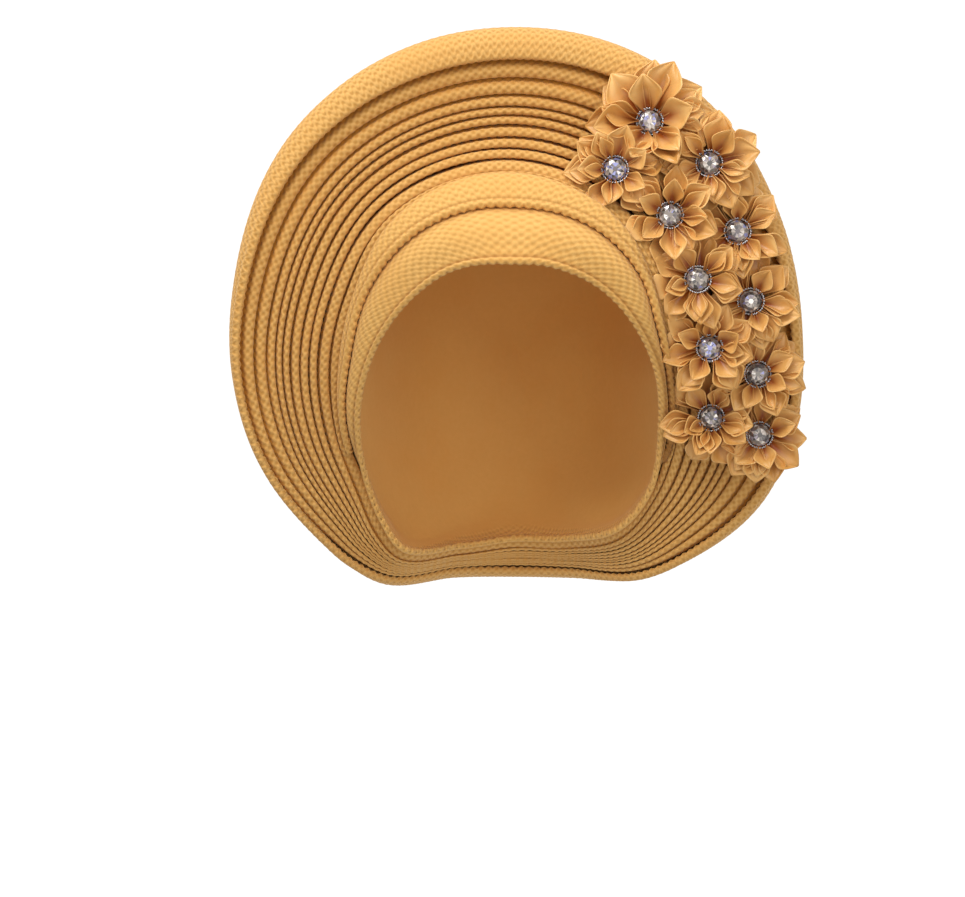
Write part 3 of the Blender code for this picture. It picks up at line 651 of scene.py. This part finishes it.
# The gathers are two waves round the fan, bent by slower ones, that grow from the rim and close at the pole.
back_share = ramp(wrap_places, GATHER_START, wrap_whole - GATHER_START)
turn = wrap_angles[:, None]
gathers = np.sin(29 * turn + 1.6 * np.sin(3 * turn + .4)) + .5 * np.sin(47 * turn + 2.1 * np.sin(2 * turn))
gathers = GATHER_DEPTH * gathers * np.sin(np.pi * back_share ** .75) ** 1.2 * back_share
wrap_side = normals(wrap_outer) * gathers[..., None]
wrap_loop = shell_loop(wrap_outer + wrap_side, wrap_inner + wrap_side)
wrap_way = np.concatenate([wrap_places, wrap_places[:, ::-1]], axis=1)
wrap_loop = toothed(wrap_loop, normals(wrap_loop), PLEAT_TOOTH * np.clip(1 - wrap_way / (1.6 * RIM_ROLL), 0, 1))
wrap_plain = np.concatenate([ramp(wrap_places - wrap_whole, *WRAP_LINING_OUTSIDE),
                             ramp(wrap_places[:, ::-1], *WRAP_LINING_INSIDE)], axis=1)
wrap_loop = knotted(wrap_loop, 1 - wrap_plain)
wrap_loop[:, [wrap_places.shape[1] - 1, wrap_places.shape[1]], 0] = 0.0
# Painted shade: the outer face is darker in the hollows of the gathers.
wrap_gather_shade = np.concatenate([np.clip(-gathers / GATHER_DEPTH, 0, 1) * .55, np.zeros_like(gathers)], axis=1)
wrap = sew("outer_wrap_cloth", wrap_angles, wrap_loop, wrap_gather_shade, gold_cloth_shaded_copy, True, wrap_plain)
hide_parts("outer_wrap")
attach(wrap, "root")

# Each flower is made of squares of gold satin ribbon, folded to pointed cups, pinched at the root and
# glued round a small felt hub in three rows. Each row stands up more than the one under it, and a few
# smaller cups are nested in the others.
FLOWER_SIZES = (1.35, 1.00, 1.12, 1.05, 1.05, 1.02, 1.02, 1.05, 1.00, 1.05, 1.02)
PETAL_LENGTH = 0.0180
PETAL_HALF_WIDTH = 0.0080
WIDEST = .62
RIBBON = 0.00045
PETAL_ROOT = 0.0048
PETAL_REST = 0.0009
BUTTON_RADIUS = 0.0065
# Rows of petals from the lowest: the turn in steps, how many, their share of the size, and how far they rise.
PETAL_ROWS = ((0, 7, 1.04, .10), (.5, 6, 1.0, .36), (0, 5, .84, .68))
NESTED_PETALS = 4
PETAL_GRID = (16, 13)
FOLD_DEPTH = .14
FOLD_WIDTH = .12
TIP_LIFT = .30
RUFFLE = .10
LEAN = .24


def front_table():
    """Depth of the front of the cloth, for a table of angles and radii."""
    angles = np.linspace(-np.pi, np.pi, 361)
    lines = pleat_lines(angles)
    band_line = band_inside(angles)[:, ::8]
    crests = (lines[:, 1:] + lines[:, :-1]) / 2 + forward(lines[:, 1:] - lines[:, :-1]) * .08 * rib_depth(
        angles)[:, None]
    chain = np.concatenate([section_point("edge", angles)[:, None], band_line, crests,
                            wrap_outside(angles)[:, 5:100:5]], axis=1)
    radii = np.linspace(0, 1.1 * FAN_RADIUS, 200)
    reach = np.maximum.accumulate(chain[..., 0], axis=1)
    return angles, radii, np.array([np.interp(radii, x, y) for x, y in zip(reach, chain[..., 1])])


front_angles, front_radii, front_depths = front_table()


def cloth_front(x, z):
    """Depth of the front of the cloth at places of the front view, from the table by two straight steps."""
    angle = np.arctan2(x, z + CROWN_RADIUS)
    radius = np.hypot(x, z + CROWN_RADIUS)
    a = (angle - front_angles[0]) / (front_angles[1] - front_angles[0])
    r = np.clip(radius / front_radii[1], 0, len(front_radii) - 1.001)
    i, j = np.clip(a.astype(int), 0, len(front_angles) - 2), r.astype(int)
    s, t = a - i, r - j
    near = front_depths[i, j] * (1 - t) + front_depths[i, j + 1] * t
    far = front_depths[i + 1, j] * (1 - t) + front_depths[i + 1, j + 1] * t
    return near * (1 - s) + far * s


def petal_surfaces(turns, long, half_width, rise, curl, pinch, twist):
    """Middle surfaces of folded petals, one for each value, in the flower's own axes.

    The middle line leaves the root at the angle rise and bends by curl. Across it the ribbon is an arc
    that closes by pinch at the root and opens to the tip. The half width is a kite, widest at WIDEST:
    ((u / WIDEST)^-5 + ((1 - u) / (1 - WIDEST))^-5)^(-1/5), scaled. A narrow fold runs down the middle, the
    tip turns up, a wave of 2.6 turns ruffles the ribbon across, and twist leans it to one side.
    """
    def grow(values):
        """Values of the petals, made ready for a grid of u and v."""
        return np.asarray(values)[:, None, None]

    u = np.linspace(.012, .990, PETAL_GRID[0])[None, :, None]
    v = np.linspace(-1, 1, PETAL_GRID[1])[None, None, :]
    slope = grow(rise) + grow(curl) * u
    step = np.gradient(u[0, :, 0])[None, :, None] * grow(long)
    away = PETAL_ROOT + np.cumsum(np.cos(slope) * step, axis=1) - np.cos(slope[:, :1]) * step[:, :1]
    ahead = np.cumsum(np.sin(slope) * step, axis=1) - np.sin(slope[:, :1]) * step[:, :1]
    wide = ((u / WIDEST) ** -5.0 + ((1 - u) / (1 - WIDEST)) ** -5.0) ** -.2
    wide = grow(half_width) * 1.12 * (wide + .16 * (1 - u) ** 3)
    bend = grow(pinch) * (1 - u) ** .6 + .42
    side = wide / bend * np.sin(bend * v)
    lift = wide / bend * (1 - np.cos(bend * v)) - FOLD_DEPTH * wide * np.exp(-(v / FOLD_WIDTH) ** 2) * u
    lift = lift + TIP_LIFT * wide * ramp(u, WIDEST, 1 - WIDEST) * (1 - np.abs(v))
    lift = lift + RUFFLE * wide * np.sin(2.6 * np.pi * v + 3 * grow(twist)) * u ** 2
    side = side + LEAN * wide * grow(twist) * u
    away = away - lift * np.sin(slope)
    ahead = ahead + lift * np.cos(slope)
    a = grow(turns)
    return np.stack([away * np.sin(a) + side * np.cos(a), -ahead + 0 * side,
                     away * np.cos(a) - side * np.sin(a)], axis=-1)


def satin_ribbon():
    """Satin ribbon: fine weft lines across it, a bright sheen, and painted shade, a deep orange, in the folds and at
    the root.
    """
    made, nodes, link, shader = new_finish("gold satin ribbon")
    preset(shader, {"Sheen Weight": .30, "Sheen Roughness": .30, "Sheen Tint": (1.0, .80, .48, 1),
                    "Anisotropic": .45})
    place = nodes.new("ShaderNodeUVMap")
    place.uv_map = "weave"
    weft = nodes.new("ShaderNodeTexWave")
    weft.bands_direction = "X"
    preset(weft, {"Scale": 14.0, "Distortion": .6})
    link(place.outputs["UV"], weft.inputs["Vector"])
    cloud = noise(nodes, link, 90.0, 3.0)
    tone = nodes.new("ShaderNodeValToRGB")
    tone.color_ramp.elements[0].position = .32
    tone.color_ramp.elements[0].color = (.70, .34, .080, 1)
    tone.color_ramp.elements[1].position = .70
    tone.color_ramp.elements[1].color = (.86, .50, .165, 1)
    link(cloud, tone.inputs["Fac"])
    # Painted shade: a deep orange where the mesh's painted-light attribute is high, at the roots and along the
    # folds.
    mixed = nodes.new("ShaderNodeMix")
    mixed.data_type = "RGBA"
    link(attribute(nodes, "painted_light"), mixed.inputs[0])
    link(tone.outputs["Color"], mixed.inputs[6])
    mixed.inputs[7].default_value = (.30, .062, .003, 1)
    link(mixed.outputs[2], shader.inputs["Base Color"])
    uneven_gloss(nodes, link, shader, cloud, .30, .46)
    raise_surface(nodes, link, shader, weft.outputs["Color"], .25, .00006)
    return made


satin = satin_ribbon()
seats = []
for number in range(len(FLOWER_SIZES)):
    low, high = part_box(f"setting_{number + 1}")
    seats.append(((low.x + high.x) / 2, high.y, (low.z + high.z) / 2))
seats = np.array(seats)


def arrange_petals(number, chance):
    """Turn, length, half width, rise, curl, pinch and twist of each petal of a flower, in three rows.

    A petal that points at a near neighbour is shorter and stands up more.
    """
    size = FLOWER_SIZES[number]
    rows = []
    for row, count, share, rise in PETAL_ROWS:
        turns = 2 * np.pi * (np.arange(count) + row) / count + .9 * number
        turns = turns + chance.uniform(-.20, .20, count)
        reach = PETAL_LENGTH * size * share * chance.uniform(.92, 1.08, count)
        apart = np.delete(seats - seats[number], number, axis=0)[:, [0, 2]]
        gap = length(apart)[:, 0]
        towards = np.stack([np.sin(turns), np.cos(turns)], -1) @ (apart / gap[:, None]).T
        room = np.where(towards > .55, (gap - BUTTON_RADIUS - .001) / np.maximum(towards, .55), 1.0).min(axis=1)
        held = np.clip((room - PETAL_ROOT) / reach, .55, 1.0)
        rows.append(np.stack([turns, reach * (.5 + .5 * held),
                              PETAL_HALF_WIDTH * size * share * chance.uniform(.92, 1.10, count),
                              rise + .75 * (1 - held) + chance.uniform(-.12, .16, count),
                              chance.uniform(-.75, .25, count), chance.uniform(.9, 2.0, count),
                              chance.uniform(-1, 1, count)], axis=0))
    outer = np.concatenate(rows, axis=1)
    inside = chance.permutation(outer.shape[1])[:NESTED_PETALS]
    nested = outer[:, inside] * np.array([1, .86, .70, 1, 1, 1, -1])[:, None]
    nested[3] += .16
    nested[5] += .6
    return np.concatenate([outer, nested], axis=1)


def build_petals(name, number):
    """Closes each petal's surface into a ribbon of one wall, and joins them in one piece."""
    chance = np.random.default_rng(40 + number)
    middles = petal_surfaces(*arrange_petals(number, chance)) + seats[number]
    front = cloth_front(middles[..., 0], middles[..., 2])
    middles[..., 1] = np.minimum(middles[..., 1], front - PETAL_REST)
    along = np.gradient(middles, axis=1)
    across = np.gradient(middles, axis=2)
    normal = np.cross(along, across)
    normal = normal / np.maximum(length(normal), 1e-12) * RIBBON / 2
    loops = np.concatenate([middles + normal, (middles - normal)[:, :, ::-1]], axis=2)
    petals, rows, count = loops.shape[:3]
    i, j = grid(rows - 1, count)
    j_next = (j + 1) % count
    faces = np.stack([i * count + j, (i + 1) * count + j, (i + 1) * count + j_next, i * count + j_next], -1)
    first = end_strip(count)
    last = ((rows - 1) * count + first)[:, ::-1]
    u = np.stack([i, i + 1, i + 1, i], -1) / rows
    across_share = np.abs(2 * np.arange(count + 1) / count - 1)
    v = across_share[np.stack([j, j, j + 1, j + 1], -1)]
    ends = np.zeros((2 * len(first), 4, 2))
    weave = np.concatenate([np.stack([u, v], axis=-1), ends])
    faces = np.concatenate([faces, first, last])
    all_faces = (faces[None] + (np.arange(petals) * rows * count)[:, None, None]).reshape(-1, 4)
    along_share = np.linspace(0, 1, rows)[:, None]
    aside = np.abs(np.linspace(-1, 1, count // 2))
    aside = np.concatenate([aside, aside])[None]
    # Painted shade: the colour darkens at the root, inside the cup, and runs out along the middle fold.
    depth = np.clip(1.40 - 1.9 * along_share - .35 * aside, 0, 1) ** 1.3
    depth = depth + .50 * np.exp(-(aside / .35) ** 2) * (1 - along_share)
    depth = np.broadcast_to(np.clip(depth, 0, 1), loops.shape[:3])
    return make_piece(name, loops.reshape(-1, 3), all_faces, np.tile(weave, (petals, 1, 1)), depth, satin)


for number in range(len(FLOWER_SIZES)):
    flower = build_petals(f"ribbon_flower_{number + 1}", number)
    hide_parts(f"flower_{number + 1}")
    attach(flower, "root")

# Each flower has a button in its middle: a pressed silver cup with a ring of beads round its edge, and
# a cut crystal in it, silvered behind; the light, dark, blue and lilac of its facets are painted reflections.
BEAD_RADIUS = 0.00060
BEADS = 32
BEAD_RING = 0.00625
BEAD_HEIGHT = 0.0023
BEAD_ROWS = 5
BEAD_SIDES = 8
CUP_SIDES = 48
CUP_PROFILE = ((0, 0), (.0058, 0), (.0063, .0004), (.0065, .0012), (.00645, .0020), (.0062, .0024), (.0060, .0025),
               (.0058, .0024), (.0057, .0020), (.00565, .0012), (.0055, .0009), (0, .0009))
STONE_RADIUS = 0.0054
STONE_SIDES = 12
STONE_LIFT = 0.0010
# Each ring of the stone has its radius as a share of STONE_RADIUS, its height, and 1 where it is turned by
# half a side.
STONE_RINGS = ((.55, 0.0, 0), (.99, .0006, 1), (.99, .0010, 1), (.82, .0019, 0), (.56, .0026, 1), (.22, .0026, 0))
BLUE_STONES = (1, 7)


def silver():
    """Bright metal plate with fine scratches, and a tone that turns darker in random spots."""
    made, nodes, link, shader = new_finish("silver plate")
    shader.inputs["Metallic"].default_value = 1.0
    cloud = noise(nodes, link, 900.0)
    tone = nodes.new("ShaderNodeValToRGB")
    tone.color_ramp.elements[0].color = (.26, .25, .26, 1)
    tone.color_ramp.elements[1].color = (.80, .79, .80, 1)
    link(cloud, tone.inputs["Fac"])
    link(tone.outputs["Color"], shader.inputs["Base Color"])
    uneven_gloss(nodes, link, shader, cloud, .16, .38)
    return made


def cut_crystal():
    """Foiled crystal: each facet shows one painted reflection, from near black through warm greys and a dull lilac
    to near white, or blue, picked by the mesh's painted-light attribute.
    """
    made, nodes, link, shader = new_finish("cut crystal")
    preset(shader, {"Roughness": .10, "Metallic": .30, "Coat Weight": .7, "Coat Roughness": .02})
    tone = nodes.new("ShaderNodeValToRGB")
    ramp = tone.color_ramp
    ramp.interpolation = "CONSTANT"
    # Painted reflections and glints: the dark, grey and near-white facets and the blue stand in for the room and the
    # lamps seen in the silvered back.
    painted_reflections = ((0.0, (.070, .058, .050)), (.14, (.23, .19, .155)), (.30, (.39, .33, .28)), (.44, (.13, .105, .105)),
              (.56, (.54, .48, .42)), (.68, (.29, .24, .27)), (.78, (.20, .175, .145)), (.86, (.88, .84, .77)),
              (.93, (.29, .30, .56)))
    ramp.elements[0].color = (*painted_reflections[0][1], 1)
    ramp.elements[1].position = painted_reflections[-1][0]
    ramp.elements[1].color = (*painted_reflections[-1][1], 1)
    for at, painted_reflection in painted_reflections[1:-1]:
        ramp.elements.new(at).color = (*painted_reflection, 1)
    link(attribute(nodes, "painted_light"), tone.inputs["Fac"])
    link(tone.outputs["Color"], shader.inputs["Base Color"])
    return made


silver_plate = silver()
crystal = cut_crystal()


def turned_cup(middle):
    """A cup turned about an axis that faces front."""
    points, faces = carried_round(*np.array(CUP_PROFILE).T, CUP_SIDES)
    return points[:, [0, 2, 1]] * (1, -1, 1) + middle, faces[:, [0, 3, 2, 1]]


def bead_ring(middle):
    """Beads in a ring on the cup's edge, each a ball of BEAD_SIDES by BEAD_ROWS faces."""
    around = 2 * np.pi * np.arange(BEADS) / BEADS
    centres = np.stack([BEAD_RING * np.sin(around), np.full(BEADS, -BEAD_HEIGHT), BEAD_RING * np.cos(around)], -1)
    polar = np.linspace(0, np.pi, BEAD_ROWS + 1)[:, None]
    turn = (2 * np.pi * np.arange(BEAD_SIDES) / BEAD_SIDES)[None]
    ball = np.stack([np.sin(polar) * np.cos(turn), np.cos(polar) + 0 * turn, np.sin(polar) * np.sin(turn)], -1)
    points = centres[:, None] + BEAD_RADIUS * ball.reshape(-1, 3)[None]
    i, j = grid(BEAD_ROWS, BEAD_SIDES)
    here, below = i * BEAD_SIDES, (i + 1) * BEAD_SIDES
    j_next = (j + 1) % BEAD_SIDES
    faces = np.stack([here + j, here + j_next, below + j_next, below + j], -1)
    faces = (faces[None] + (np.arange(BEADS) * ball[..., 0].size)[:, None, None]).reshape(-1, 4)
    return points.reshape(-1, 3) + middle, faces


def cut_stone(middle, turn):
    """Points of a round cut, ring by ring: a shallow back, the girdle, kite and star facets, and a table.

    The table is cut in two rings that lie in one plane, so that its faces can take painted reflections like the
    facets of the back seen through it.
    """
    share, height, odd = (np.array(values)[:, None] for values in zip(*STONE_RINGS))
    a = turn + 2 * np.pi * (np.arange(STONE_SIDES) + .5 * odd) / STONE_SIDES
    points = np.stack([share * STONE_RADIUS * np.sin(a), -height + 0 * a, share * STONE_RADIUS * np.cos(a)], -1)
    return points.reshape(-1, 3) + middle


def faceted(name, middle, turn, chance, blue, finish):
    """Mesh of the stone with flat faces; each facet takes one painted reflection by chance, and a share of them
    takes the blue one.
    """
    odd = [turned for share, height, turned in STONE_RINGS]
    ring = np.arange(len(odd) * STONE_SIDES).reshape(len(odd), STONE_SIDES)
    faces = [ring[0][::-1].tolist(), ring[-1].tolist()]
    for k in range(len(odd) - 1):
        here, there = ring[k], ring[k + 1]
        here_next, there_next = np.roll(here, -1), np.roll(there, -1)
        if odd[k] == odd[k + 1]:
            faces += np.stack([here, here_next, there_next, there], -1).tolist()
        else:
            tip, foot = (there, here_next) if odd[k] < odd[k + 1] else (there_next, here)
            pairs = np.stack([(here, here_next, tip), (foot, there_next, there)])
            faces += pairs.transpose(2, 0, 1).reshape(-1, 3).tolist()
    mesh = bpy.data.meshes.new(name)
    mesh.from_pydata(cut_stone(middle, turn).tolist(), [], faces)
    shape = bmesh.new()
    shape.from_mesh(mesh)
    bmesh.ops.recalc_face_normals(shape, faces=shape.faces)
    shape.to_mesh(mesh)
    shape.free()
    # Painted reflections: a grey by chance for each facet, and the blue for a share of them.
    painted_reflection = chance.uniform(0, .92, len(mesh.polygons))
    painted_reflection[chance.uniform(0, 1, len(painted_reflection)) < blue] = 1.0
    mesh.attributes.new("painted_light", "FLOAT", "FACE").data.foreach_set("value", painted_reflection.astype(np.float32))
    mesh.materials.append(finish)
    return placed(name, mesh)


for number, seat in enumerate(seats):
    cup_points, cup_faces = turned_cup(seat)
    bead_points, bead_faces = bead_ring(seat)
    metal_faces = np.concatenate([cup_faces, bead_faces + len(cup_points)])
    metal_points = np.concatenate([cup_points, bead_points])
    cup = make_piece(f"button_cup_{number + 1}", metal_points, metal_faces, np.zeros((len(metal_faces), 4, 2)),
                     np.zeros(len(metal_points)), silver_plate)
    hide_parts(f"setting_{number + 1}")
    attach(cup, "root")
    stone = faceted(f"crystal_{number + 1}", seat - (0, STONE_LIFT, 0), .3 * number,
                    np.random.default_rng(70 + number), .26 if number in BLUE_STONES else .03, crystal)
    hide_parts(f"stone_{number + 1}")
    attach(stone, "root")

# The floor is a sheet that rises all round the piece in one soft curve, well below it, because the
# head tie is held up. It is painted light: near black of its own, it glows, dimly in front of the piece
# and white behind it, so that it looks pale and lights the piece too. Three wide lamps and a soft sky
# light it from the front.
FLOOR_HEIGHT = -0.46
FLOOR_RADIUS = 2.6
FLOOR_BEND = 0.9
WALL_TOP = 4.5
FLOOR_SIDES = 96


def pale_bowl():
    """A floor and a wall joined by a quarter circle, with one face for the middle of the floor."""
    bend = np.radians(np.linspace(-90, 0, 13))
    radii = np.concatenate([[.8], FLOOR_RADIUS + FLOOR_BEND * np.cos(bend), [FLOOR_RADIUS + FLOOR_BEND]])
    heights = np.concatenate([[0.0], FLOOR_BEND + FLOOR_BEND * np.sin(bend), [WALL_TOP]]) + FLOOR_HEIGHT
    points, faces = carried_round(radii, heights, FLOOR_SIDES)
    faces = faces.tolist() + [(np.arange(FLOOR_SIDES) * len(radii)).tolist()]
    mesh = bpy.data.meshes.new("pale_floor")
    mesh.from_pydata(points.tolist(), [], faces)
    mesh.polygons.foreach_set("use_smooth", np.ones(len(faces), bool))
    paint, nodes, link, shader = new_finish("glowing backdrop")
    preset(shader, {"Base Color": (.05, .05, .05, 1), "Roughness": 1.0, "Specular IOR Level": 0.0,
                    "Emission Color": (1, 1, 1, 1)})
    where = nodes.new("ShaderNodeTexCoord")
    split = nodes.new("ShaderNodeSeparateXYZ")
    link(where.outputs["Object"], split.inputs[0])
    # Painted light: the glow rises from half strength in front of the piece to full behind it.
    glow = nodes.new("ShaderNodeMapRange")
    glow.interpolation_type = "SMOOTHSTEP"
    preset(glow, {"From Min": -.2, "From Max": .7, "To Min": .50, "To Max": 1.02})
    link(split.outputs["Y"], glow.inputs["Value"])
    link(glow.outputs["Result"], shader.inputs["Emission Strength"])
    paint.cycles.emission_sampling = "NONE"
    mesh.materials.append(paint)
    return placed("pale_floor", mesh)


pale_bowl()
sky = bpy.data.worlds.new("soft sky")
bpy.context.scene.world = sky
sky.use_nodes = True
preset(sky.node_tree.nodes["Background"], {"Color": (1.0, .99, .975, 1), "Strength": .26})


def lamp(name, place, target, size, power):
    """A square area lamp at a place, turned towards a target."""
    light = bpy.data.lights.new(name, "AREA")
    light.size = size
    light.energy = power
    holder = placed(name, light)
    holder.location = place
    aim = np.array(target) - np.array(place)
    holder.rotation_euler = (np.arccos(-aim[2] / np.linalg.norm(aim)), 0.0, np.arctan2(aim[1], aim[0]) - np.pi / 2)


lamp("key", (-.55, -1.00, 1.05), (0, 0, -.08), .7, 15.6)
lamp("fill", (.45, -1.50, .15), (0, 0, -.08), 1.2, 6.5)
lamp("top", (-.05, -.14, 1.25), (0, 0, -.05), .6, 8.0)

# The camera looks level along +Y from 1.6 m, as the picture of the real piece was taken.
view = bpy.data.cameras.new("front")
view.lens = 124.36
view.sensor_width = 36.0
camera = placed("front", view)
camera.location = (-.0154, -1.600, -.1436)
camera.rotation_euler = (np.pi / 2, 0.0, 0.0)
bpy.context.scene.camera = camera
bpy.context.scene.view_settings.view_transform = "Standard"
